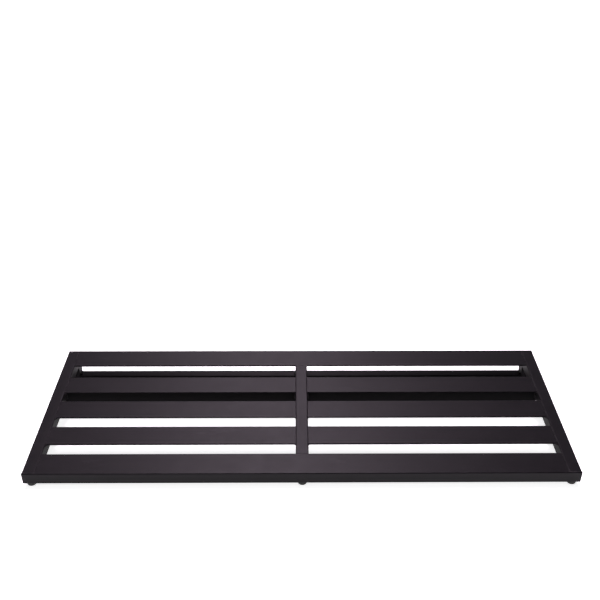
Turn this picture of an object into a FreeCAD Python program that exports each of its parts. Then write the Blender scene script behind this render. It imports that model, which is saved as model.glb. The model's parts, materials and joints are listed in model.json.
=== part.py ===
import FreeCAD, Part
import math
import os
import Sketcher
from FreeCAD import Placement, Rotation, Vector

# A welded aluminium pedalboard frame. Five flat rails carry the pedals on a deck that slopes
# down to the player. The front stands on three rubber feet and the rear on a low tube stand.
#
# Model frame: X is the long side, -Y is the player's side, +Z is up. The origin is on the
# floor, under the middle of the board. The deck's pieces are placed in the deck's own frame,
# which starts at the middle of the rear top edge, with +Y up the slope and +Z square to it.

SIZES = {
    # the whole board; the front feet reach the floor at this angle
    "board_width": 1066.8,
    "board_height": 88.9,
    "deck_depth": 368.3,
    "deck_angle": 8.41,
    # deck rails: aluminium angle, laid flat side up; the rear and front ones are wider
    "rear_rail_width": 53.0,
    "rail_width": 49.0,
    "front_rail_width": 51.0,
    "rail_gap": 25.8,
    "rail_thickness": 3.0,
    "flange_height": 25.4,
    "rail_edge_radius": 0.8,
    "rail_bend_radius": 2.2,
    "rail_root_radius": 1.5,
    # tubes that run down the slope
    "tube_width": 25.4,
    "tube_height": 25.4,
    "tube_wall": 1.6,
    "tube_radius": 2.0,
    # rear stand
    "leg_depth": 25.4,
    "leg_inset": 0.2,
    "crossbar_side": 25.4,
    # rubber feet
    "foot_radius": 9.5,
    "foot_height": 10.65,
    "foot_from_front": 12.7,
    "foot_edge_radius": 1.2,
    "foot_bore_radius": 2.8,
    "recess_radius": 5.8,
    "recess_depth": 5.2,
    "nut_seat_radius": 5.4,
    "nut_seat_depth": 0.9,
    # foot screws and washers
    "washer_radius": 5.4,
    "washer_bore_radius": 2.6,
    "washer_thickness": 1.0,
    "screw_radius": 2.4,
    "screw_length": 14.0,
    "head_radius": 4.6,
    "head_height": 3.2,
    "head_edge_radius": 1.0,
    "slot_half_width": 0.6,
    "slot_half_length": 2.4,
    "slot_depth": 1.8,
    # rivet nuts in the tube walls
    "nut_hole_radius": 3.5,
    "nut_bore_radius": 2.5,
    "nut_barrel_radius": 3.4,
    "nut_flange_radius": 5.2,
    "nut_flange_height": 0.7,
    "nut_bulge_radius": 4.8,
    "nut_bulge_height": 2.4,
    "nut_length": 10.5,
    # weld fillets: the side of each square corner that is filled
    "side_weld": 5.0,
    "centre_weld": 2.8,
    "weld_hollow": 1.13,
    "weld_hollow_offset": 1.17,
    "thin_weld_length": 1.8,
    "flange_weld_length": 15.5,
    "under_weld_length": 30.0,
    "stand_weld_length": 15.0,
}

doc = FreeCAD.newDocument("Pedalboard")
sheet = doc.addObject("Spreadsheet::Sheet", "Sizes")
for row, (alias, value) in enumerate(SIZES.items(), start=1):
    sheet.set("A%d" % row, alias)
    sheet.set("B%d" % row, str(value))
    sheet.setAlias("B%d" % row, alias)
doc.recompute()


def size(name):
    """A driving dimension, read from the sheet."""
    return float(sheet.get(name))


def bound(terms):
    """An expression over the sheet, from aliases and arithmetic signs with spaces between."""
    return " ".join("Sizes." + word if word in SIZES else word for word in terms.split())


def value_of(terms):
    """What such an expression comes to."""
    return float(sheet.evalExpression(bound(terms)))


# ---------------------------------------------------------------- steps shared by all bodies

def new_body(name):
    body = doc.addObject("PartDesign::Body", name)
    body.Label = name
    return body


def new_sketch(body, name, role):
    plane = [item for item in body.Origin.OriginFeatures if item.Role == role][0]
    sketch = body.newObject("Sketcher::SketchObject", name)
    sketch.AttachmentSupport = [(plane, "")]
    sketch.MapMode = "FlatFace"
    return sketch


def pin_point(sketch, line, point, across, up):
    """Hold one point of a sketch at two bound distances from the origin."""
    for kind, terms in (("DistanceX", across), ("DistanceY", up)):
        index = sketch.addConstraint(Sketcher.Constraint(kind, -1, 1, line, point, value_of(terms)))
        sketch.setExpression("Constraints[%d]" % index, bound(terms))


def add_outline(sketch, corners):
    """A closed polygon. Each corner is a pair of expressions, across and up."""
    points = [Vector(value_of(across), value_of(up), 0) for across, up in corners]
    first = sketch.GeometryCount
    count = len(points)
    for number in range(count):
        sketch.addGeometry(Part.LineSegment(points[number], points[(number + 1) % count]), False)
    for number in range(count):
        following = first + (number + 1) % count
        sketch.addConstraint(Sketcher.Constraint("Coincident", first + number, 2, following, 1))
    for number, (across, up) in enumerate(corners):
        pin_point(sketch, first + number, 1, across, up)


def rectangle(left, low, right, high):
    return [(left, low), (right, low), (right, high), (left, high)]


def add_pad(body, sketch, length):
    pad = body.newObject("PartDesign::Pad", body.Name + "_pad")
    pad.Profile = sketch
    pad.setExpression("Length", bound(length))
    doc.recompute()


def add_pocket(body, name, sketch, depth=None, reversed_side=True):
    """Cut a sketch out of the body, to a bound depth or right through."""
    before = body.Shape.Volume
    pocket = body.newObject("PartDesign::Pocket", name)
    pocket.Profile = sketch
    pocket.Reversed = reversed_side
    if depth is None:
        pocket.Type = "ThroughAll"
    else:
        pocket.setExpression("Length", bound(depth))
    doc.recompute()
    if body.Shape.Volume > before - 1e-3:
        raise RuntimeError(name + " removed nothing")


def cut_outlines(body, name, role, outlines, depth=None, reversed_side=True):
    sketch = new_sketch(body, name + "_sketch", role)
    for corners in outlines:
        add_outline(sketch, corners)
    add_pocket(body, name, sketch, depth, reversed_side)


def cut_round_hole(body, name, across, up, radius, depth):
    sketch = new_sketch(body, name + "_sketch", "XY_Plane")
    centre = Vector(value_of(across), value_of(up), 0)
    sketch.addGeometry(Part.Circle(centre, Vector(0, 0, 1), size(radius)), False)
    pin_point(sketch, 0, 3, across, up)
    index = sketch.addConstraint(Sketcher.Constraint("Radius", 0, size(radius)))
    sketch.setExpression("Constraints[%d]" % index, bound(radius))
    add_pocket(body, name, sketch, depth)


def add_fillet(body, name, radius, wanted):
    """Round each edge of the present shape for which wanted(edge) is true."""
    base = body.Tip
    edges = enumerate(base.Shape.Edges, start=1)
    chosen = ["Edge%d" % number for number, edge in edges if wanted(edge)]
    fillet = body.newObject("PartDesign::Fillet", name)
    fillet.Base = (base, chosen)
    fillet.setExpression("Radius", bound(radius))
    doc.recompute()


def runs_along(edge, axis):
    """True for a straight edge parallel to an axis: 0 is X, 1 is Y and 2 is Z."""
    if edge.Curve.TypeId != "Part::GeomLine":
        return False
    start = edge.Vertexes[0].Point
    end = edge.Vertexes[-1].Point
    return all(abs(start[other] - end[other]) < 1e-6 for other in range(3) if other != axis)


def is_one_of(place, wanted):
    return any(abs(place - value) < 1e-6 for value in wanted)


# ---------------------------------------------------------------- where the pieces stand

slope = math.radians(size("deck_angle"))
half_width = size("board_width") / 2
half_tube = size("tube_width") / 2
wall_x = half_width - size("tube_width")
side_x = half_width - half_tube
rear_edge_y = (size("deck_depth") * math.cos(slope) - size("flange_height") * math.sin(slope)) / 2
stand_front_y = rear_edge_y - size("leg_inset") - size("leg_depth")
stand_middle_y = stand_front_y + size("leg_depth") / 2
stand_top = size("foot_height") + size("crossbar_side")

TILT = Rotation(Vector(1, 0, 0), size("deck_angle"))
DECK = Placement(Vector(0, rear_edge_y, size("board_height")), TILT)
QUARTER_TURN = Rotation(Vector(0, 0, 1), 90)
NO_TURN = Rotation()


def on_deck(x, y, z, turn=NO_TURN):
    return DECK.multiply(Placement(Vector(x, y, z), turn))


def rail_width(number):
    """The alias of a rail's width. Rail 1 is at the rear and rail 5 in front."""
    return {1: "rear_rail_width", 5: "front_rail_width"}.get(number, "rail_width")


def rail_front(number):
    """The front edge of a rail in the deck's frame. Rails 2 to 5 are evenly spaced."""
    if number == 1:
        return -size("rear_rail_width")
    if number == 5:
        return -size("deck_depth")
    return rail_front(number + 1) + size(rail_width(number + 1)) + size("rail_gap")


# ---------------------------------------------------------------- deck rails

def angle_section(width, flange_in_front):
    """A flat top with one flange that hangs from its front or its rear edge."""
    if flange_in_front:
        return [("0", "0"),
                ("rail_thickness", "0"),
                ("rail_thickness", "flange_height - rail_thickness"),
                (width, "flange_height - rail_thickness"),
                (width, "flange_height"),
                ("0", "flange_height")]
    return [(width + " - rail_thickness", "0"),
            (width, "0"),
            (width, "flange_height"),
            ("0", "flange_height"),
            ("0", "flange_height - rail_thickness"),
            (width + " - rail_thickness", "flange_height - rail_thickness")]


def is_long_edge_at(edge, places):
    """True for an edge along the rail that is at one of the given (y, z) places."""
    if not runs_along(edge, 0):
        return False
    start = edge.Vertexes[0].Point
    return any(is_one_of(start.y, (y,)) and is_one_of(start.z, (z,)) for y, z in places)


def make_rail(name, number, length, flange_in_front):
    body = new_body(name)
    section = new_sketch(body, name + "_section", "YZ_Plane")
    add_outline(section, angle_section(rail_width(number), flange_in_front))
    add_pad(body, section, length)
    width = size(rail_width(number))
    height = size("flange_height")
    thickness = size("rail_thickness")
    bend_y, free_y = (0, width) if flange_in_front else (width, 0)
    root = [(abs(bend_y - thickness), height - thickness)]
    bend = [(bend_y, height)]
    free_edges = [(bend_y, 0), (free_y, height)]
    add_fillet(body, name + "_root", "rail_root_radius", lambda edge: is_long_edge_at(edge, root))
    add_fillet(body, name + "_bend", "rail_bend_radius", lambda edge: is_long_edge_at(edge, bend))
    add_fillet(body, name + "_edges", "rail_edge_radius", lambda edge: is_long_edge_at(edge, free_edges))
    return body


def make_outer_rail(name, number, flange_in_front):
    """The front or rear rail. Its flange is full width, and its flat stops at the side tubes."""
    body = make_rail(name, number, "board_width", flange_in_front)
    low, high = "0", rail_width(number) + " - rail_thickness"
    if flange_in_front:
        low, high = "rail_thickness", rail_width(number)
    notches = [rectangle("0", low, "tube_width", high),
               rectangle("board_width - tube_width", low, "board_width", high)]
    cut_outlines(body, name + "_notches", "XY_Plane", notches)
    body.Placement = on_deck(-half_width, rail_front(number), -size("flange_height"))
    return body


def make_half_rails(ordinal, number, flange_in_front):
    """The two halves of an inner rail, each between the centre tube and a side tube."""
    length = "( board_width - 3 * tube_width ) / 2"
    halves = []
    for side, start in (("left", -wall_x), ("right", half_tube)):
        body = make_rail("%s_rail_%s" % (ordinal, side), number, length, flange_in_front)
        body.Placement = on_deck(start, rail_front(number), -size("flange_height"))
        halves.append(body)
    return halves


# ---------------------------------------------------------------- tubes

def make_tube(name, length, width, height):
    """A hollow bar along X."""
    body = new_body(name)
    section = new_sketch(body, name + "_section", "YZ_Plane")
    add_outline(section, rectangle("0", "0", width, height))
    add_pad(body, section, length)
    add_fillet(body, name + "_corners", "tube_radius", lambda edge: runs_along(edge, 0))
    hollow = rectangle("tube_wall", "tube_wall", width + " - tube_wall", height + " - tube_wall")
    cut_outlines(body, name + "_hollow", "YZ_Plane", [hollow])
    return body


def make_deck_tube(name, middle_x):
    """A tube down the slope, between the front and rear flanges, with a hole for a foot."""
    body = make_tube(name, "deck_depth - 2 * rail_thickness", "tube_width", "tube_height")
    cut_round_hole(body, name + "_nut_hole", "foot_from_front - rail_thickness", "tube_width / 2",
                   "nut_hole_radius", "2 * tube_wall")
    front_end = -size("deck_depth") + size("rail_thickness")
    body.Placement = on_deck(middle_x + half_tube, front_end, -size("tube_height"), QUARTER_TURN)
    return body


def make_centre_tube():
    """The middle tube. Its ends are cut down to pass under the front and rear rails."""
    body = make_deck_tube("centre_tube", 0)
    low = "tube_height - rail_thickness"
    front_end = rectangle("0", low, "front_rail_width - rail_thickness", "tube_height")
    rear_end = rectangle("deck_depth - rail_thickness - rear_rail_width", low,
                         "deck_depth - 2 * rail_thickness", "tube_height")
    cut_outlines(body, "centre_tube_ends", "XZ_Plane", [front_end, rear_end], reversed_side=False)
    return body


# ---------------------------------------------------------------- rear stand

def make_leg(name, middle_x, bottom):
    """An upright tube whose top is cut to the slope of the deck tube that it carries."""
    body = new_body(name)
    top = "board_height - tube_height / cos( deck_angle )"
    rear_top = top + " - leg_inset * tan( deck_angle ) - " + bottom
    front_top = top + " - ( leg_inset + leg_depth ) * tan( deck_angle ) - " + bottom
    section = new_sketch(body, name + "_profile", "YZ_Plane")
    add_outline(section, [("0", "0"), ("leg_depth", "0"), ("leg_depth", rear_top), ("0", front_top)])
    add_pad(body, section, "tube_width")
    add_fillet(body, name + "_corners", "tube_radius", lambda edge: runs_along(edge, 2))
    hollow = rectangle("tube_wall", "tube_wall", "tube_width - tube_wall", "leg_depth - tube_wall")
    cut_outlines(body, name + "_hollow", "XY_Plane", [hollow])
    corner = Vector(middle_x - half_tube, stand_front_y, value_of(bottom))
    body.Placement = Placement(corner, NO_TURN)
    return body


def make_end_plate(name, middle_x):
    """The plate welded into a leg's lower end, which holds the rivet nut for the foot."""
    body = new_body(name)
    section = new_sketch(body, name + "_section", "XY_Plane")
    outline = rectangle("tube_wall", "tube_wall", "tube_width - tube_wall", "leg_depth - tube_wall")
    add_outline(section, outline)
    add_pad(body, section, "tube_wall")
    cut_round_hole(body, name + "_nut_hole", "tube_width / 2", "leg_depth / 2",
                   "nut_hole_radius", "2 * tube_wall")
    corner = Vector(middle_x - half_tube, stand_front_y, size("foot_height"))
    body.Placement = Placement(corner, NO_TURN)
    return body


def make_crossbar():
    body = make_tube("rear_crossbar", "board_width - 2 * tube_width", "crossbar_side", "crossbar_side")
    cut_round_hole(body, "rear_crossbar_nut_hole", "( board_width - 2 * tube_width ) / 2",
                   "crossbar_side / 2", "nut_hole_radius", "2 * tube_wall")
    body.Placement = Placement(Vector(-wall_x, stand_front_y, size("foot_height")), NO_TURN)
    return body


# ---------------------------------------------------------------- feet and their fasteners

def make_turned(name, outline):
    """A round piece, from half of its section in the XZ plane, turned about Z."""
    body = new_body(name)
    section = new_sketch(body, name + "_section", "XZ_Plane")
    add_outline(section, outline)
    turned = body.newObject("PartDesign::Revolution", name + "_turned")
    turned.Profile = section
    turned.ReferenceAxis = (section, ["V_Axis"])
    turned.Angle = 360
    doc.recompute()
    return body


def is_rim(edge, radius, heights):
    """True for a full circle of the given radius at one of the given heights."""
    if edge.Curve.TypeId != "Part::GeomCircle":
        return False
    return is_one_of(edge.Curve.Radius, (radius,)) and is_one_of(edge.Curve.Center.z, heights)


def make_foot(name, stands_at):
    seat = "foot_height - nut_seat_depth"
    body = make_turned(name, [("foot_bore_radius", "recess_depth"),
                              ("recess_radius", "recess_depth"),
                              ("recess_radius", "0"),
                              ("foot_radius", "0"),
                              ("foot_radius", "foot_height"),
                              ("nut_seat_radius", "foot_height"),
                              ("nut_seat_radius", seat),
                              ("foot_bore_radius", seat)])
    rims = (0, size("foot_height"))
    add_fillet(body, name + "_rims", "foot_edge_radius",
               lambda edge: is_rim(edge, size("foot_radius"), rims))
    body.Placement = stands_at
    return body


def make_screw(name, stands_at):
    """A pan-head screw with a cross recess, head down."""
    tip = "head_height + screw_length"
    body = make_turned(name, [("0", "0"),
                              ("head_radius", "0"),
                              ("head_radius", "head_height"),
                              ("screw_radius", "head_height"),
                              ("screw_radius", tip),
                              ("0", tip)])
    add_fillet(body, name + "_head_rim", "head_edge_radius",
               lambda edge: is_rim(edge, size("head_radius"), (0,)))
    near, far = "slot_half_width", "slot_half_length"
    less_near, less_far = "0 - " + near, "0 - " + far
    cross = [(less_near, less_far), (near, less_far), (near, less_near), (far, less_near),
             (far, near), (near, near), (near, far), (less_near, far),
             (less_near, near), (less_far, near), (less_far, less_near), (less_near, less_near)]
    cut_outlines(body, name + "_recess", "XY_Plane", [cross], depth="slot_depth")
    head_low = size("recess_depth") - size("washer_thickness") - size("head_height")
    body.Placement = stands_at.multiply(Placement(Vector(0, 0, head_low), NO_TURN))
    return body


def make_washer(name, stands_at):
    ring = rectangle("washer_bore_radius", "0", "washer_radius", "washer_thickness")
    body = make_turned(name, ring)
    washer_low = size("recess_depth") - size("washer_thickness")
    body.Placement = stands_at.multiply(Placement(Vector(0, 0, washer_low), NO_TURN))
    return body


def make_rivet_nut(name, stands_at):
    """A threaded barrel whose flange and bulge grip the tube wall between them."""
    grip_top = "nut_flange_height + tube_wall"
    bulge_top = grip_top + " + nut_bulge_height"
    body = make_turned(name, [("nut_bore_radius", "0"),
                              ("nut_flange_radius", "0"),
                              ("nut_flange_radius", "nut_flange_height"),
                              ("nut_barrel_radius", "nut_flange_height"),
                              ("nut_barrel_radius", grip_top),
                              ("nut_bulge_radius", grip_top),
                              ("nut_bulge_radius", bulge_top),
                              ("nut_barrel_radius", bulge_top),
                              ("nut_barrel_radius", "nut_length"),
                              ("nut_bore_radius", "nut_length")])
    nut_low = size("foot_height") - size("nut_flange_height")
    body.Placement = stands_at.multiply(Placement(Vector(0, 0, nut_low), NO_TURN))
    return body


def make_group(name, members):
    """Identical small pieces that share one node, as separate solids."""
    group = doc.addObject("Part::Compound", name)
    group.Label = name
    group.Links = members
    return group


# ---------------------------------------------------------------- weld fillets

# Each fillet lies in the corner of its own +X and +Y faces and runs along its own +Z.
HALF_TURN = Rotation(Vector(0, 0, 1), 180)
UPRIGHT = {1: Rotation(Vector(0, 0, 1), -90), -1: HALF_TURN}
UNDER = Rotation(Vector(1, 0, 0), -90)
OVER = Rotation(Vector(1, 0, 0), 90)


def make_weld(name, side, length, place):
    """A hollow-faced fillet: a square bar with a round bar taken out of its far corner."""
    bar = doc.addObject("Part::Box", name + "_bar")
    bar.setExpression("Length", bound(side))
    bar.setExpression("Width", bound(side))
    bar.setExpression("Height", bound(length))
    hollow = doc.addObject("Part::Cylinder", name + "_hollow")
    hollow.setExpression("Radius", bound(side + " * weld_hollow"))
    hollow.setExpression("Height", bound(length))
    hollow.setExpression("Placement.Base.x", bound(side + " * weld_hollow_offset"))
    hollow.setExpression("Placement.Base.y", bound(side + " * weld_hollow_offset"))
    weld = doc.addObject("Part::Cut", name)
    weld.Base = bar
    weld.Tool = hollow
    weld.Placement = place
    return weld


def under_place(x, low_y, length, z, outward):
    """Below a face at height z on the deck, beside a wall at x, from low_y up the slope."""
    if outward > 0:
        return on_deck(x, low_y, z, UNDER)
    return on_deck(x, low_y + length, z, HALF_TURN.multiply(UNDER))


def rail_end_welds(prefix, x, outward, side):
    """The fillets of all five rails against one wall of a tube that faces outward along X."""
    thickness = size("rail_thickness")
    welds = []
    for number in range(1, 6):
        name = "%s_%d" % (prefix, number)
        front = rail_front(number)
        length = size("under_weld_length")
        low_y = front + (size(rail_width(number)) - length) / 2
        place = under_place(x, low_y, length, -thickness, outward)
        welds.append(make_weld(name + "_under", side, "under_weld_length", place))
        if number in (3, 4):
            place = on_deck(x, front, -thickness, UPRIGHT[outward])
            welds.append(make_weld(name + "_front", side, "thin_weld_length", place))
            inner_face = front + size("rail_width") - thickness
            drop = size("flange_weld_length") + thickness + size("rail_root_radius")
            place = on_deck(x, inner_face, -drop, UPRIGHT[outward])
            welds.append(make_weld(name + "_flange", side, "flange_weld_length", place))
        if number == 2:
            drop = size("flange_weld_length") + size("rail_bend_radius")
            place = on_deck(x, front, -drop, UPRIGHT[outward])
            welds.append(make_weld(name + "_flange", side, "flange_weld_length", place))
    return welds


def stand_welds():
    """The fillets on top of the crossbar, beside the two legs and the centre leg."""
    welds = []
    spare = (size("crossbar_side") - size("stand_weld_length")) / 2
    rear = stand_front_y + size("crossbar_side") - spare
    front = stand_front_y + spare
    for number, (x, side) in enumerate(((-wall_x, "side_weld"), (half_tube, "centre_weld"))):
        place = Placement(Vector(x, rear, stand_top), OVER)
        welds.append(make_weld("stand_weld_a%d" % number, side, "stand_weld_length", place))
    for number, (x, side) in enumerate(((-half_tube, "centre_weld"), (wall_x, "side_weld"))):
        place = Placement(Vector(x, front, stand_top), HALF_TURN.multiply(OVER))
        welds.append(make_weld("stand_weld_b%d" % number, side, "stand_weld_length", place))
    return welds


# ---------------------------------------------------------------- the assembly

nodes = [
    make_outer_rail("rear_rail", 1, False),
    make_outer_rail("front_rail", 5, True),
    make_deck_tube("left_side_tube", -side_x),
    make_deck_tube("right_side_tube", side_x),
    make_centre_tube(),
    make_leg("left_rear_leg", -side_x, "foot_height"),
    make_leg("right_rear_leg", side_x, "foot_height"),
    make_leg("centre_rear_leg", 0, "( foot_height + crossbar_side )"),
    make_end_plate("left_leg_end_plate", -side_x),
    make_end_plate("right_leg_end_plate", side_x),
    make_crossbar(),
]
nodes += make_half_rails("second", 2, True)
nodes += make_half_rails("third", 3, False)
nodes += make_half_rails("fourth", 4, False)

front_foot_y = -size("deck_depth") + size("foot_from_front")
front_foot_z = -size("tube_height") - size("foot_height")
screws = []
washers = []
nuts = []
for side, x in (("left", -side_x), ("centre", 0), ("right", side_x)):
    stands = {
        "front": on_deck(x, front_foot_y, front_foot_z),
        "rear": Placement(Vector(x, stand_middle_y, 0), NO_TURN),
    }
    for end, stands_at in stands.items():
        label = "%s_%s" % (end, side)
        nodes.append(make_foot(label + "_foot", stands_at))
        screws.append(make_screw(label + "_screw", stands_at))
        washers.append(make_washer(label + "_washer", stands_at))
        nuts.append(make_rivet_nut(label + "_rivet_nut", stands_at))

nodes += [
    make_group("foot_screws", screws),
    make_group("foot_washers", washers),
    make_group("rivet_nuts", nuts),
    make_group("left_rail_welds", rail_end_welds("left_weld", -wall_x, 1, "side_weld")),
    make_group("centre_rail_welds", rail_end_welds("centre_left_weld", -half_tube, -1, "centre_weld")
               + rail_end_welds("centre_right_weld", half_tube, 1, "centre_weld")),
    make_group("right_rail_welds", rail_end_welds("right_weld", wall_x, -1, "side_weld")),
    make_group("rear_stand_welds", stand_welds()),
]
doc.recompute()

# ---------------------------------------------------------------- checks and export

for item in doc.Objects:
    if "Invalid" in item.State or "Error" in item.State:
        raise RuntimeError("%s did not rebuild: %s" % (item.Label, item.State))

os.makedirs("parts", exist_ok=True)
for node in nodes:
    if node.Shape.isNull() or not node.Shape.isValid():
        raise RuntimeError(node.Label + " has no valid shape")
    node.Shape.exportStep("parts/%s.step" % node.Label)
    print(node.Label, len(node.Shape.Solids), round(node.Shape.Volume, 1))
print(len(nodes), "nodes")
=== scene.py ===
import json
import math
import random

import bmesh
import bpy
from mathutils import Matrix, Vector


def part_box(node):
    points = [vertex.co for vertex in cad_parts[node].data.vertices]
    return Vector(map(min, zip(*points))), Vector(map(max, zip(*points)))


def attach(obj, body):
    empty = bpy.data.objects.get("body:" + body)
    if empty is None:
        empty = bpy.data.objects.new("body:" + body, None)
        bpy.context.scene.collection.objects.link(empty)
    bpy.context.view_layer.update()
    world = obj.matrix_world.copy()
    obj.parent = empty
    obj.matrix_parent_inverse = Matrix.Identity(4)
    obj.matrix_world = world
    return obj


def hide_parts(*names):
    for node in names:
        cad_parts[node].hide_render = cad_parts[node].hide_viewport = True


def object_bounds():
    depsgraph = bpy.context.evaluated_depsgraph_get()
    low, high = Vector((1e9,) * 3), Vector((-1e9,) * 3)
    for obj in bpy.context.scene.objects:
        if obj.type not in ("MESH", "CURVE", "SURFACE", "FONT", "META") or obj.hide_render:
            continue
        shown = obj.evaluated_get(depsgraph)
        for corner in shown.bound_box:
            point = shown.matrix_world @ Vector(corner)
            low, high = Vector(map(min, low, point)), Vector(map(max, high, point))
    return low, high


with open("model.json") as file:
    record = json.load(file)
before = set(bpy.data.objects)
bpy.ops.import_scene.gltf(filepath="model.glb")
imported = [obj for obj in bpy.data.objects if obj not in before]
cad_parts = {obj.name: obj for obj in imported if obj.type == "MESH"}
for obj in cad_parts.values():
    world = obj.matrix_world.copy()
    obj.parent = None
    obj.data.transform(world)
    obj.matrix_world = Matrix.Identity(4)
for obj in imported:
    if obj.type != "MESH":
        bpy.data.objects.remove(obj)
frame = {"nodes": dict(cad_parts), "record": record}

# The looks of a powder-coated open-rail pedalboard. Lengths are in metres, in the CAD frame.

cad_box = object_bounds()
FRONT_FACE_Y = cad_box[0].y
SIDE_FACE_X = cad_box[1].x

# ---------------------------------------------------------------- node helpers


def add_math(tree, operation, first, second=None):
    """A math node's result. Each input is a plain number or another node's output."""
    node = tree.nodes.new("ShaderNodeMath")
    node.operation = operation
    for socket, value in zip(node.inputs, (first, second)):
        if isinstance(value, float):
            socket.default_value = value
        elif value is not None:
            tree.links.new(value, socket)
    return node.outputs["Value"]


def add_mix(tree, factor, first, second):
    """A colour between two others. Each is three plain numbers or another node's output."""
    node = tree.nodes.new("ShaderNodeMix")
    node.data_type = "RGBA"
    tree.links.new(factor, node.inputs["Factor"])
    colours = [socket for socket in node.inputs if socket.type == "RGBA"]
    for socket, value in zip(colours, (first, second)):
        if isinstance(value, tuple):
            socket.default_value = value + (1.0,)
        else:
            tree.links.new(value, socket)
    return [socket for socket in node.outputs if socket.type == "RGBA"][0]


# A surface counts as upright from the first slant to the second, and as inside the frame from the
# first depth behind an outer face to the second.
UPRIGHT_START = 0.5
UPRIGHT_FULL = 0.8
INSIDE_START = 0.010
INSIDE_FULL = 0.020
SIDEWAYS_SHARE = 0.35
BEVEL_SAMPLES = 6


class Graph:
    """A material's node tree, with short calls for the nodes that are used here."""

    def __init__(self, name):
        self.material = bpy.data.materials.new(name)
        self.material.use_nodes = True
        self.tree = self.material.node_tree
        self.shader = self.tree.nodes["Principled BSDF"]
        coordinates = self.tree.nodes.new("ShaderNodeTexCoord")
        self.place = coordinates.outputs["Object"]

    def link(self, source, target):
        self.tree.links.new(source, target)

    def noise(self, scale, detail=2.0, roughness=0.5, place=None):
        node = self.tree.nodes.new("ShaderNodeTexNoise")
        node.inputs["Scale"].default_value = scale
        node.inputs["Detail"].default_value = detail
        node.inputs["Roughness"].default_value = roughness
        self.link(place or self.place, node.inputs["Vector"])
        return node.outputs["Fac"]

    def cells(self, scale):
        node = self.tree.nodes.new("ShaderNodeTexVoronoi")
        node.inputs["Scale"].default_value = scale
        self.link(self.place, node.inputs["Vector"])
        return node.outputs["Distance"]

    def stretched(self, scale):
        node = self.tree.nodes.new("ShaderNodeMapping")
        node.inputs["Scale"].default_value = scale
        self.link(self.place, node.inputs["Vector"])
        return node.outputs["Vector"]

    def remap(self, source, low, high, to_low=0.0, to_high=1.0):
        node = self.tree.nodes.new("ShaderNodeMapRange")
        node.inputs["From Min"].default_value = low
        node.inputs["From Max"].default_value = high
        node.inputs["To Min"].default_value = to_low
        node.inputs["To Max"].default_value = to_high
        self.link(source, node.inputs["Value"])
        return node.outputs["Result"]

    def math(self, operation, first, second=None):
        return add_math(self.tree, operation, first, second)

    def mix(self, factor, first, second):
        return add_mix(self.tree, factor, first, second)

    def edge_wear_and_highlight_mask(self, radius, threshold):
        """Bright only where the surface turns sharply, within a radius: the mask for edge wear and for a
        painted highlight along edges.
        """
        bevel = self.tree.nodes.new("ShaderNodeBevel")
        bevel.samples = BEVEL_SAMPLES
        bevel.inputs["Radius"].default_value = radius
        geometry = self.tree.nodes.new("ShaderNodeNewGeometry")
        dot = self.tree.nodes.new("ShaderNodeVectorMath")
        dot.operation = "DOT_PRODUCT"
        self.link(bevel.outputs["Normal"], dot.inputs[0])
        self.link(geometry.outputs["Normal"], dot.inputs[1])
        return self.remap(dot.outputs["Value"], low=1.0, high=threshold)

    def recess(self):
        """1 on forward faces inside the frame and less on sideways ones, where powder settles thin."""
        coordinates = self.tree.nodes.new("ShaderNodeTexCoord")
        facing = self.tree.nodes.new("ShaderNodeSeparateXYZ")
        self.link(coordinates.outputs["Normal"], facing.inputs[0])
        where = self.tree.nodes.new("ShaderNodeSeparateXYZ")
        self.link(self.place, where.inputs[0])
        forward = self.remap(facing.outputs["Y"], low=-UPRIGHT_START, high=-UPRIGHT_FULL)
        behind_front = self.remap(where.outputs["Y"], low=FRONT_FACE_Y + INSIDE_START,
                                  high=FRONT_FACE_Y + INSIDE_FULL)
        sideways = self.remap(self.math("ABSOLUTE", facing.outputs["X"]), low=UPRIGHT_START,
                              high=UPRIGHT_FULL, to_low=0.0, to_high=SIDEWAYS_SHARE)
        off_sides = self.remap(self.math("ABSOLUTE", where.outputs["X"]), low=SIDE_FACE_X - INSIDE_START,
                               high=SIDE_FACE_X - INSIDE_FULL)
        return self.math("MAXIMUM", self.math("MULTIPLY", forward, behind_front),
                         self.math("MULTIPLY", sideways, off_sides))

    def bump(self, height, strength, distance, after=None):
        node = self.tree.nodes.new("ShaderNodeBump")
        node.inputs["Strength"].default_value = strength
        node.inputs["Distance"].default_value = distance
        self.link(height, node.inputs["Height"])
        if after is not None:
            self.link(after, node.inputs["Normal"])
        return node.outputs["Normal"]


# ---------------------------------------------------------------- finishes

# Colours are linear. The scales below are per metre, and the depths are in metres.
POWDER_SPECULAR = 0.090
POWDER_DARK = (0.0052, 0.0048, 0.0057)
POWDER_LIGHT = (0.0067, 0.0061, 0.0072)
POWDER_SPECK = (0.026, 0.024, 0.027)
POWDER_SCUFF = (0.020, 0.019, 0.021)
# The light edge colour below is partly worn coat and partly a painted highlight along edges and bends.
POWDER_WORN_AND_HIGHLIGHT = (0.055, 0.050, 0.053)
SPECK_SHARE = 0.5
SCUFF_SHARE = 0.35
SCUFF_STRETCH = (0.35, 1.0, 1.0)
WEAR_AND_HIGHLIGHT_SHARE = 0.7
RECESS_DULLNESS = 0.5
RUBBER_DARK = (0.014, 0.014, 0.014)
RUBBER_DUSTY = (0.026, 0.025, 0.024)
TURNING_STRETCH = (1.0, 1.0, 9.0)
ZINC_TINT = (0.56, 0.57, 0.58)
ZINC_DULL = (0.42, 0.42, 0.43)
NUT_TINT = (0.50, 0.49, 0.46)
NUT_DULL = (0.36, 0.35, 0.33)


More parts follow.
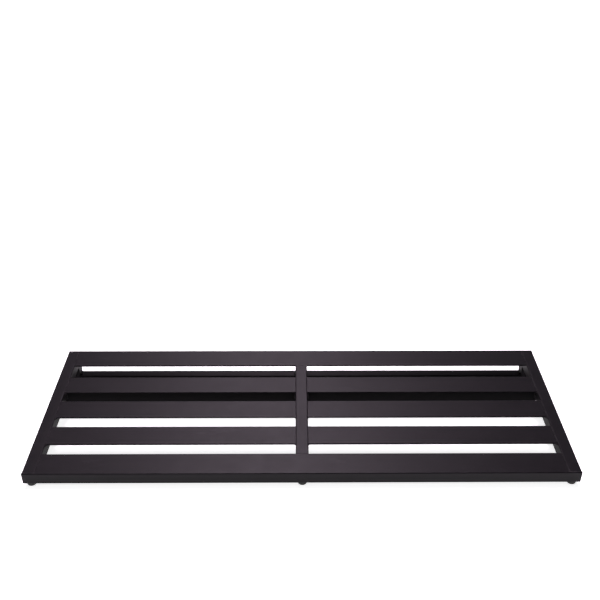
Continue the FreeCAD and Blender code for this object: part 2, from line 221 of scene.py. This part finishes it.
def powder_coat():
    """Fine-textured satin black powder coat, lightly scuffed, with edges lightened partly by wear of the
    thin coat and partly as a painted highlight, and dull in recesses.
    """
    graph = Graph("powder_coat")
    shader = graph.shader
    shader.inputs["Specular IOR Level"].default_value = POWDER_SPECULAR
    cloud = graph.remap(graph.noise(scale=9.0, detail=3.0, roughness=0.55), low=0.3, high=0.7)
    colour = graph.mix(cloud, POWDER_DARK, POWDER_LIGHT)
    speck = graph.remap(graph.cells(scale=700.0), low=0.0, high=0.16, to_low=1.0, to_high=0.0)
    colour = graph.mix(graph.math("MULTIPLY", speck, SPECK_SHARE), colour, POWDER_SPECK)
    rubbed = graph.noise(scale=24.0, detail=5.0, roughness=0.62, place=graph.stretched(SCUFF_STRETCH))
    scuffs = graph.remap(rubbed, low=0.62, high=0.74)
    colour = graph.mix(graph.math("MULTIPLY", scuffs, SCUFF_SHARE), colour, POWDER_SCUFF)
    patchy = graph.remap(graph.noise(scale=70.0, detail=4.0), low=0.35, high=0.6)
    # Lighter edges: partly worn coat, partly a painted highlight along the edges and bends.
    wear_and_highlight = graph.math("MULTIPLY", graph.edge_wear_and_highlight_mask(radius=0.0012, threshold=0.90), patchy)
    colour = graph.mix(graph.math("MULTIPLY", wear_and_highlight, WEAR_AND_HIGHLIGHT_SHARE), colour, POWDER_WORN_AND_HIGHLIGHT)
    graph.link(colour, shader.inputs["Base Color"])
    satin = graph.remap(graph.noise(scale=34.0, detail=4.0, roughness=0.6), low=0.25, high=0.75,
                        to_low=0.33, to_high=0.39)
    dull = graph.math("MULTIPLY", graph.recess(), RECESS_DULLNESS)
    graph.link(graph.math("ADD", satin, dull), shader.inputs["Roughness"])
    pebble = graph.bump(graph.noise(scale=420.0), strength=0.34, distance=0.00014)
    grain = graph.noise(scale=1900.0, detail=2.0, roughness=0.6)
    fine = graph.bump(grain, strength=0.35, distance=0.00004, after=pebble)
    graph.link(fine, shader.inputs["Normal"])
    return graph.material


def rubber():
    """Moulded matte black rubber, a little dusty."""
    graph = Graph("foot_rubber")
    shader = graph.shader
    dust = graph.remap(graph.noise(scale=160.0, detail=4.0, roughness=0.65), low=0.4, high=0.75)
    graph.link(graph.mix(dust, RUBBER_DARK, RUBBER_DUSTY), shader.inputs["Base Color"])
    rough = graph.remap(graph.noise(scale=420.0, detail=3.0, roughness=0.6), low=0.3, high=0.7,
                        to_low=0.62, to_high=0.80)
    graph.link(rough, shader.inputs["Roughness"])
    grain = graph.noise(scale=1500.0, detail=3.0, roughness=0.6)
    graph.link(graph.bump(grain, strength=0.35, distance=0.00008), shader.inputs["Normal"])
    return graph.material


def plated_steel(name, tint, dull):
    """Zinc plate with fine turning marks and dull patches."""
    graph = Graph(name)
    shader = graph.shader
    shader.inputs["Metallic"].default_value = 1.0
    patch = graph.remap(graph.noise(scale=300.0, detail=4.0, roughness=0.6), low=0.35, high=0.7)
    graph.link(graph.mix(patch, tint, dull), shader.inputs["Base Color"])
    rough = graph.remap(graph.noise(scale=700.0, detail=3.0, roughness=0.6), low=0.3, high=0.7,
                        to_low=0.24, to_high=0.42)
    graph.link(rough, shader.inputs["Roughness"])
    marks = graph.noise(scale=900.0, place=graph.stretched(TURNING_STRETCH))
    graph.link(graph.bump(marks, strength=0.2, distance=0.00005), shader.inputs["Normal"])
    return graph.material


FINISHES = {
    "powder_coated_frame": powder_coat(),
    "foot_rubber": rubber(),
    "zinc_plated_steel": plated_steel("zinc_plate", ZINC_TINT, ZINC_DULL),
    "rivet_nut_steel": plated_steel("rivet_nut_plate", NUT_TINT, NUT_DULL),
}
FINISHES["powder_coated_weld"] = FINISHES["powder_coated_frame"]

slots = {row["node"]: row["material_slot"] for row in frame["record"]["subparts"]}
for name, node in frame["nodes"].items():
    node.data.materials.clear()
    node.data.materials.append(FINISHES[slots[name]])

# ---------------------------------------------------------------- modelled pieces


def new_piece(name, mesh, slot):
    """A smooth object of its own from a finished mesh, in one of the finishes."""
    bmesh.ops.recalc_face_normals(mesh, faces=mesh.faces)
    data = bpy.data.meshes.new(name)
    mesh.to_mesh(data)
    mesh.free()
    data.shade_smooth()
    data.materials.append(FINISHES[slot])
    piece = bpy.data.objects.new(name, data)
    bpy.context.scene.collection.objects.link(piece)
    return piece


# ---------------------------------------------------------------- weld beads

# The pitch and the last value are in metres, and the lag is in ripples. The heights, the hollow and
# the first taper are shares of a fillet's leg, and the second taper is a share of its run.
RIPPLE_PITCH = 0.0016
RIPPLE_HEIGHT = 0.11
LOWEST_RIPPLE = 0.7
RIPPLE_LAG = 0.9
RIPPLE_BLUNTNESS = 0.7
TOE_BLUNTNESS = 0.5
RINGS_PER_RIPPLE = 6
RING_STEPS = 9
TOE_HEIGHT = 0.053
HOLLOW_RADIUS = 1.13
HOLLOW_OFFSET = 1.17
TAPER_OF_LEG = 0.6
TAPER_OF_RUN = 0.12
END_SHRINK = 0.4
SAME_POINT = 1e-6

deck_normal = Vector(frame["record"]["mounts"][0]["axis"])
ACROSS = Vector((1.0, 0.0, 0.0))
DECK_AXES = (ACROSS, deck_normal.cross(ACROSS), deck_normal)
FLOOR_AXES = (ACROSS, Vector((0.0, 1.0, 0.0)), Vector((0.0, 0.0, 1.0)))


def islands(data):
    """The points of each separate solid in a mesh."""
    mesh = bmesh.new()
    mesh.from_mesh(data)
    bmesh.ops.remove_doubles(mesh, verts=mesh.verts, dist=SAME_POINT)
    waiting = set(mesh.verts)
    found = []
    while waiting:
        frontier = [min(waiting, key=lambda vert: vert.index)]
        waiting.discard(frontier[0])
        points = []
        while frontier:
            vert = frontier.pop()
            points.append(vert.co.copy())
            for edge in vert.link_edges:
                other = edge.other_vert(vert)
                if other in waiting:
                    waiting.discard(other)
                    frontier.append(other)
        found.append(points)
    mesh.free()
    return found


def read_fillet(points, axes):
    """Where a CAD fillet's square corner is, the ways its two legs point, and its run."""
    spans = [(min(point.dot(axis) for point in points), max(point.dot(axis) for point in points))
             for axis in axes]
    leg = spans[0][1] - spans[0][0]
    run = max((1, 2), key=lambda number: abs(spans[number][1] - spans[number][0] - leg))
    up = 3 - run

    def emptiness(side):
        across, along = spans[0][side[0]], spans[up][side[1]]
        return min((point.dot(axes[0]) - across) ** 2 + (point.dot(axes[up]) - along) ** 2
                   for point in points)

    far = max(((0, 0), (0, 1), (1, 0), (1, 1)), key=emptiness)
    corner = axes[0] * spans[0][1 - far[0]] + axes[up] * spans[up][1 - far[1]] + axes[run] * spans[run][0]
    first = axes[0] * (leg if far[0] else -leg)
    second = axes[up] * (leg if far[1] else -leg)
    return corner, first, second, axes[run], spans[run][1] - spans[run][0]


def bead_ring(share, swell):
    """The section of a bead, on a corner with legs of length 1: a hollow face with a swell on it."""
    start = math.atan2(TOE_HEIGHT - HOLLOW_OFFSET, 1.0 - HOLLOW_OFFSET)
    turn = math.atan2(1.0 - HOLLOW_OFFSET, TOE_HEIGHT - HOLLOW_OFFSET) - start
    ring = []
    for step in range(RING_STEPS + 1):
        along = step / RING_STEPS
        radius = HOLLOW_RADIUS - swell(along) * math.sin(math.pi * along) ** TOE_BLUNTNESS
        angle = start + turn * along
        ring.append((HOLLOW_OFFSET + radius * math.cos(angle), HOLLOW_OFFSET + radius * math.sin(angle)))
    return [(a * share, b * share) for a, b in ring + [(0.0, 1.0), (0.0, 0.0), (1.0, 0.0)]]


def lay_bead(mesh, points, axes, chance):
    """One run of weld, laid as overlapping crescents in the place of a CAD fillet."""
    corner, first, second, way, length = read_fillet(points, axes)
    ripples = max(1, round(length / RIPPLE_PITCH))
    heights = [chance.uniform(LOWEST_RIPPLE, 1.0) * RIPPLE_HEIGHT for _ in range(ripples + 2)]
    taper = min(TAPER_OF_LEG * first.length, TAPER_OF_RUN * length)
    rings = []
    for number in range(ripples * RINGS_PER_RIPPLE + 1):
        place = number / RINGS_PER_RIPPLE
        reach = length * place / ripples
        edge = min(1.0, min(reach, length - reach) / taper)

        def swell(along, place=place):
            phase = place + RIPPLE_LAG * (0.25 - (along - 0.5) ** 2)
            return heights[int(phase)] * abs(math.sin(math.pi * (phase % 1.0))) ** RIPPLE_BLUNTNESS

        ring = bead_ring(1.0 - END_SHRINK * (1.0 - edge) ** 2, swell)
        rings.append([mesh.verts.new(corner + first * a + second * b + way * reach) for a, b in ring])
    for low, high in zip(rings, rings[1:]):
        for number in range(len(low)):
            after = (number + 1) % len(low)
            mesh.faces.new((low[number], low[after], high[after], high[number]))
    mesh.faces.new(rings[0])
    mesh.faces.new(rings[-1])


def add_beads(name, node_name, axes):
    """The beads of one weld node, as one piece in its place."""
    mesh = bmesh.new()
    chance = random.Random(name)
    for points in islands(frame["nodes"][node_name].data):
        lay_bead(mesh, points, axes, chance)
    piece = new_piece(name, mesh, "powder_coated_weld")
    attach(piece, "root")
    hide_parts(node_name)


for row in ("left_rail", "centre_rail", "right_rail"):
    add_beads(row + "_weld_beads", row + "_welds", DECK_AXES)
add_beads("rear_stand_weld_beads", "rear_stand_welds", FLOOR_AXES)

# ---------------------------------------------------------------- rubber feet

FOOT_RADIUS = 0.0095
FOOT_HEIGHT = 0.01065
FOOT_RIM = 0.0012
BORE_RADIUS = 0.0028
RECESS_RADIUS = 0.0058
RECESS_DEPTH = 0.0052
SEAT_RADIUS = 0.0054
SEAT_DEPTH = 0.0009
GRIP_GROOVES = (0.0064, 0.0075)
GROOVE_WIDTH = 0.0007
GROOVE_SLANT = GROOVE_WIDTH / 5
GROOVE_DEPTH = 0.0003
PARTING_RIDGE = 0.00013
RIM_STEPS = 6
FOOT_SEGMENTS = 72
FOOT_CREASE = math.radians(35.0)


def foot_outline():
    """Half of a foot's section, as (radius, height): a screw recess, grip grooves and a mould line."""
    outline = [(BORE_RADIUS, RECESS_DEPTH), (RECESS_RADIUS, RECESS_DEPTH), (RECESS_RADIUS, 0.0)]
    for start in GRIP_GROOVES:
        end = start + GROOVE_WIDTH
        outline += [(start, 0.0), (start + GROOVE_SLANT, GROOVE_DEPTH),
                    (end - GROOVE_SLANT, GROOVE_DEPTH), (end, 0.0)]
    side = FOOT_RADIUS - PARTING_RIDGE
    quarter = [math.pi / 2 * step / RIM_STEPS for step in range(RIM_STEPS + 1)]
    outline += [(side - FOOT_RIM + FOOT_RIM * math.sin(angle), FOOT_RIM - FOOT_RIM * math.cos(angle))
                for angle in quarter]
    middle = FOOT_HEIGHT / 2
    outline += [(side, middle - PARTING_RIDGE), (FOOT_RADIUS, middle), (side, middle + PARTING_RIDGE)]
    top = FOOT_HEIGHT - FOOT_RIM
    outline += [(side - FOOT_RIM + FOOT_RIM * math.cos(angle), top + FOOT_RIM * math.sin(angle))
                for angle in quarter]
    seat = FOOT_HEIGHT - SEAT_DEPTH
    return outline + [(SEAT_RADIUS, FOOT_HEIGHT), (SEAT_RADIUS, seat), (BORE_RADIUS, seat)]


def add_foot(node_name, axis):
    """A moulded foot about its own axis, in the place of the CAD foot."""
    low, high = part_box(node_name)
    base = (Vector(low) + Vector(high)) / 2 - axis * (FOOT_HEIGHT / 2)
    ahead = axis.cross(ACROSS)
    mesh = bmesh.new()
    rings = []
    for radius, height in foot_outline():
        centre = base + axis * height
        turns = [2 * math.pi * number / FOOT_SEGMENTS for number in range(FOOT_SEGMENTS)]
        rings.append([mesh.verts.new(centre + (ACROSS * math.cos(turn) + ahead * math.sin(turn)) * radius)
                      for turn in turns])
    for inner, outer in zip(rings, rings[1:] + rings[:1]):
        for number in range(FOOT_SEGMENTS):
            after = (number + 1) % FOOT_SEGMENTS
            mesh.faces.new((inner[number], inner[after], outer[after], outer[number]))
    piece = new_piece(node_name + "_moulded", mesh, "foot_rubber")
    piece.data.set_sharp_from_angle(angle=FOOT_CREASE)
    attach(piece, "root")
    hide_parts(node_name)


for side in ("left", "centre", "right"):
    add_foot("front_%s_foot" % side, DECK_AXES[2])
    add_foot("rear_%s_foot" % side, FLOOR_AXES[2])

# ---------------------------------------------------------------- floor, light and camera

FLOOR_GLOW = 0.86
FLOOR_SIZE = 60.0
FLOOR_DARK = (0.80, 0.80, 0.80)
FLOOR_LIGHT = (0.82, 0.82, 0.82)
FLOOR_ROUGHNESS = 0.9
FLOOR_CELLS = 4

# Each light in the world is a band of directions. X and Z are parts of a unit vector, and each has
# a soft spread. The horizon and zenith bands are shares of the softbox.
SOFTBOX_X = -0.030
SOFTBOX_SPREAD_X = 0.085
SOFTBOX_Z = 0.93
SOFTBOX_SPREAD_Z = 0.20
SOFTBOX_RADIANCE = 28.0
SOFTBOX_TINT = (0.98, 0.82, 0.96)
ROOM_RADIANCE = 0.06
ROOM_TINT = (0.88, 0.86, 1.0)
BACKDROP = (0.93, 0.93, 0.93, 1.0)
HORIZON_Z = 0.50
HORIZON_SPREAD_Z = 0.12
HORIZON_SHARE = 0.09
ZENITH_Z = 0.99
ZENITH_SPREAD_Z = 0.035
ZENITH_SHARE = 1.0

# The camera's place is in metres, its lens in millimetres and its turns in degrees.
CAMERA_PLACE = (-0.0155, -1.3683, 1.0001)
CAMERA_YAW = 0.469
CAMERA_PITCH = 22.352
CAMERA_ROLL = 0.140
SENSOR_WIDTH = 36.0
LENS_LENGTH = 46.24
LENS_SHIFT_UP = -0.0992


def studio_floor():
    """A pale table lit from within, so that no shadow on it is heavy."""
    graph = Graph("studio_floor")
    shader = graph.shader
    tone = graph.remap(graph.noise(scale=1.5), low=0.3, high=0.7)
    graph.link(graph.mix(tone, FLOOR_DARK, FLOOR_LIGHT), shader.inputs["Base Color"])
    shader.inputs["Roughness"].default_value = FLOOR_ROUGHNESS
    shader.inputs["Specular IOR Level"].default_value = 0.0
    shader.inputs["Emission Color"].default_value = (1.0, 1.0, 1.0, 1.0)
    shader.inputs["Emission Strength"].default_value = FLOOR_GLOW
    return graph.material


def add_floor():
    """A wide level table for the board to stand on."""
    data = bpy.data.meshes.new("studio_floor")
    mesh = bmesh.new()
    bmesh.ops.create_grid(mesh, x_segments=FLOOR_CELLS, y_segments=FLOOR_CELLS, size=FLOOR_SIZE / 2)
    mesh.to_mesh(data)
    mesh.free()
    floor = bpy.data.objects.new("studio_floor", data)
    bpy.context.scene.collection.objects.link(floor)
    data.materials.append(studio_floor())


def add_world():
    """A dim studio with three soft bands of light behind the board. The camera sees a pale backdrop."""
    world = bpy.data.worlds.new("studio")
    world.use_nodes = True
    tree = world.node_tree
    background = tree.nodes["Background"]
    coordinates = tree.nodes.new("ShaderNodeTexCoord")
    split = tree.nodes.new("ShaderNodeSeparateXYZ")
    tree.links.new(coordinates.outputs["Generated"], split.inputs[0])

    def calc(operation, first, second=None):
        return add_math(tree, operation, first, second)

    def hump(source, centre, spread):
        offset = calc("DIVIDE", calc("SUBTRACT", source, centre), spread)
        return calc("EXPONENT", calc("MULTIPLY", calc("MULTIPLY", offset, offset), -1.0))

    behind = calc("GREATER_THAN", split.outputs["Y"], 0.0)
    high = hump(split.outputs["Z"], SOFTBOX_Z, SOFTBOX_SPREAD_Z)
    low = calc("MULTIPLY", hump(split.outputs["Z"], HORIZON_Z, HORIZON_SPREAD_Z), HORIZON_SHARE)
    above = calc("MULTIPLY", hump(split.outputs["Z"], ZENITH_Z, ZENITH_SPREAD_Z), ZENITH_SHARE)
    bands = calc("ADD", calc("ADD", high, low), above)
    glow = calc("MULTIPLY", hump(split.outputs["X"], SOFTBOX_X, SOFTBOX_SPREAD_X), bands)
    glow = calc("MULTIPLY", calc("MULTIPLY", glow, behind), SOFTBOX_RADIANCE)
    total = calc("ADD", glow, ROOM_RADIANCE)
    tint = add_mix(tree, calc("DIVIDE", glow, total), ROOM_TINT, SOFTBOX_TINT)
    tree.links.new(tint, background.inputs["Color"])
    tree.links.new(total, background.inputs["Strength"])
    backdrop = tree.nodes.new("ShaderNodeBackground")
    seen = tree.nodes.new("ShaderNodeLightPath")
    choice = tree.nodes.new("ShaderNodeMixShader")
    tree.links.new(seen.outputs["Is Camera Ray"], choice.inputs["Fac"])
    tree.links.new(background.outputs["Background"], choice.inputs[1])
    tree.links.new(backdrop.outputs["Background"], choice.inputs[2])
    backdrop.inputs["Color"].default_value = BACKDROP
    tree.links.new(choice.outputs["Shader"], tree.nodes["World Output"].inputs["Surface"])
    bpy.context.scene.world = world


def add_sun(name, azimuth, elevation, strength, softness):
    """A distant soft light. Azimuth 0 is on the camera's side of the board and 90 is to its left."""
    data = bpy.data.lights.new(name, "SUN")
    data.energy = strength
    data.angle = math.radians(softness)
    lamp = bpy.data.objects.new(name, data)
    bpy.context.scene.collection.objects.link(lamp)
    turn = math.radians(azimuth)
    lift = math.radians(elevation)
    source = Vector((-math.sin(turn) * math.cos(lift), -math.cos(turn) * math.cos(lift), math.sin(lift)))
    lamp.rotation_euler = source.to_track_quat("Z", "Y").to_euler()


def add_camera():
    """A camera on the player's side that looks down on the board."""
    lens = bpy.data.cameras.new("camera")
    lens.sensor_width = SENSOR_WIDTH
    lens.lens = LENS_LENGTH
    lens.shift_y = LENS_SHIFT_UP
    camera = bpy.data.objects.new("camera", lens)
    bpy.context.scene.collection.objects.link(camera)
    yaw, pitch, roll = (math.radians(angle) for angle in (CAMERA_YAW, CAMERA_PITCH, CAMERA_ROLL))
    camera.location = CAMERA_PLACE
    look = Matrix.Rotation(-yaw, 4, "Z") @ Matrix.Rotation(math.pi / 2 - pitch, 4, "X")
    camera.rotation_euler = (look @ Matrix.Rotation(roll, 4, "Z")).to_euler()
    bpy.context.scene.camera = camera


add_floor()
add_world()
add_sun("front_fill", azimuth=25.0, elevation=62.0, strength=0.30, softness=40.0)
add_camera()
bpy.context.scene.view_settings.view_transform = "Standard"
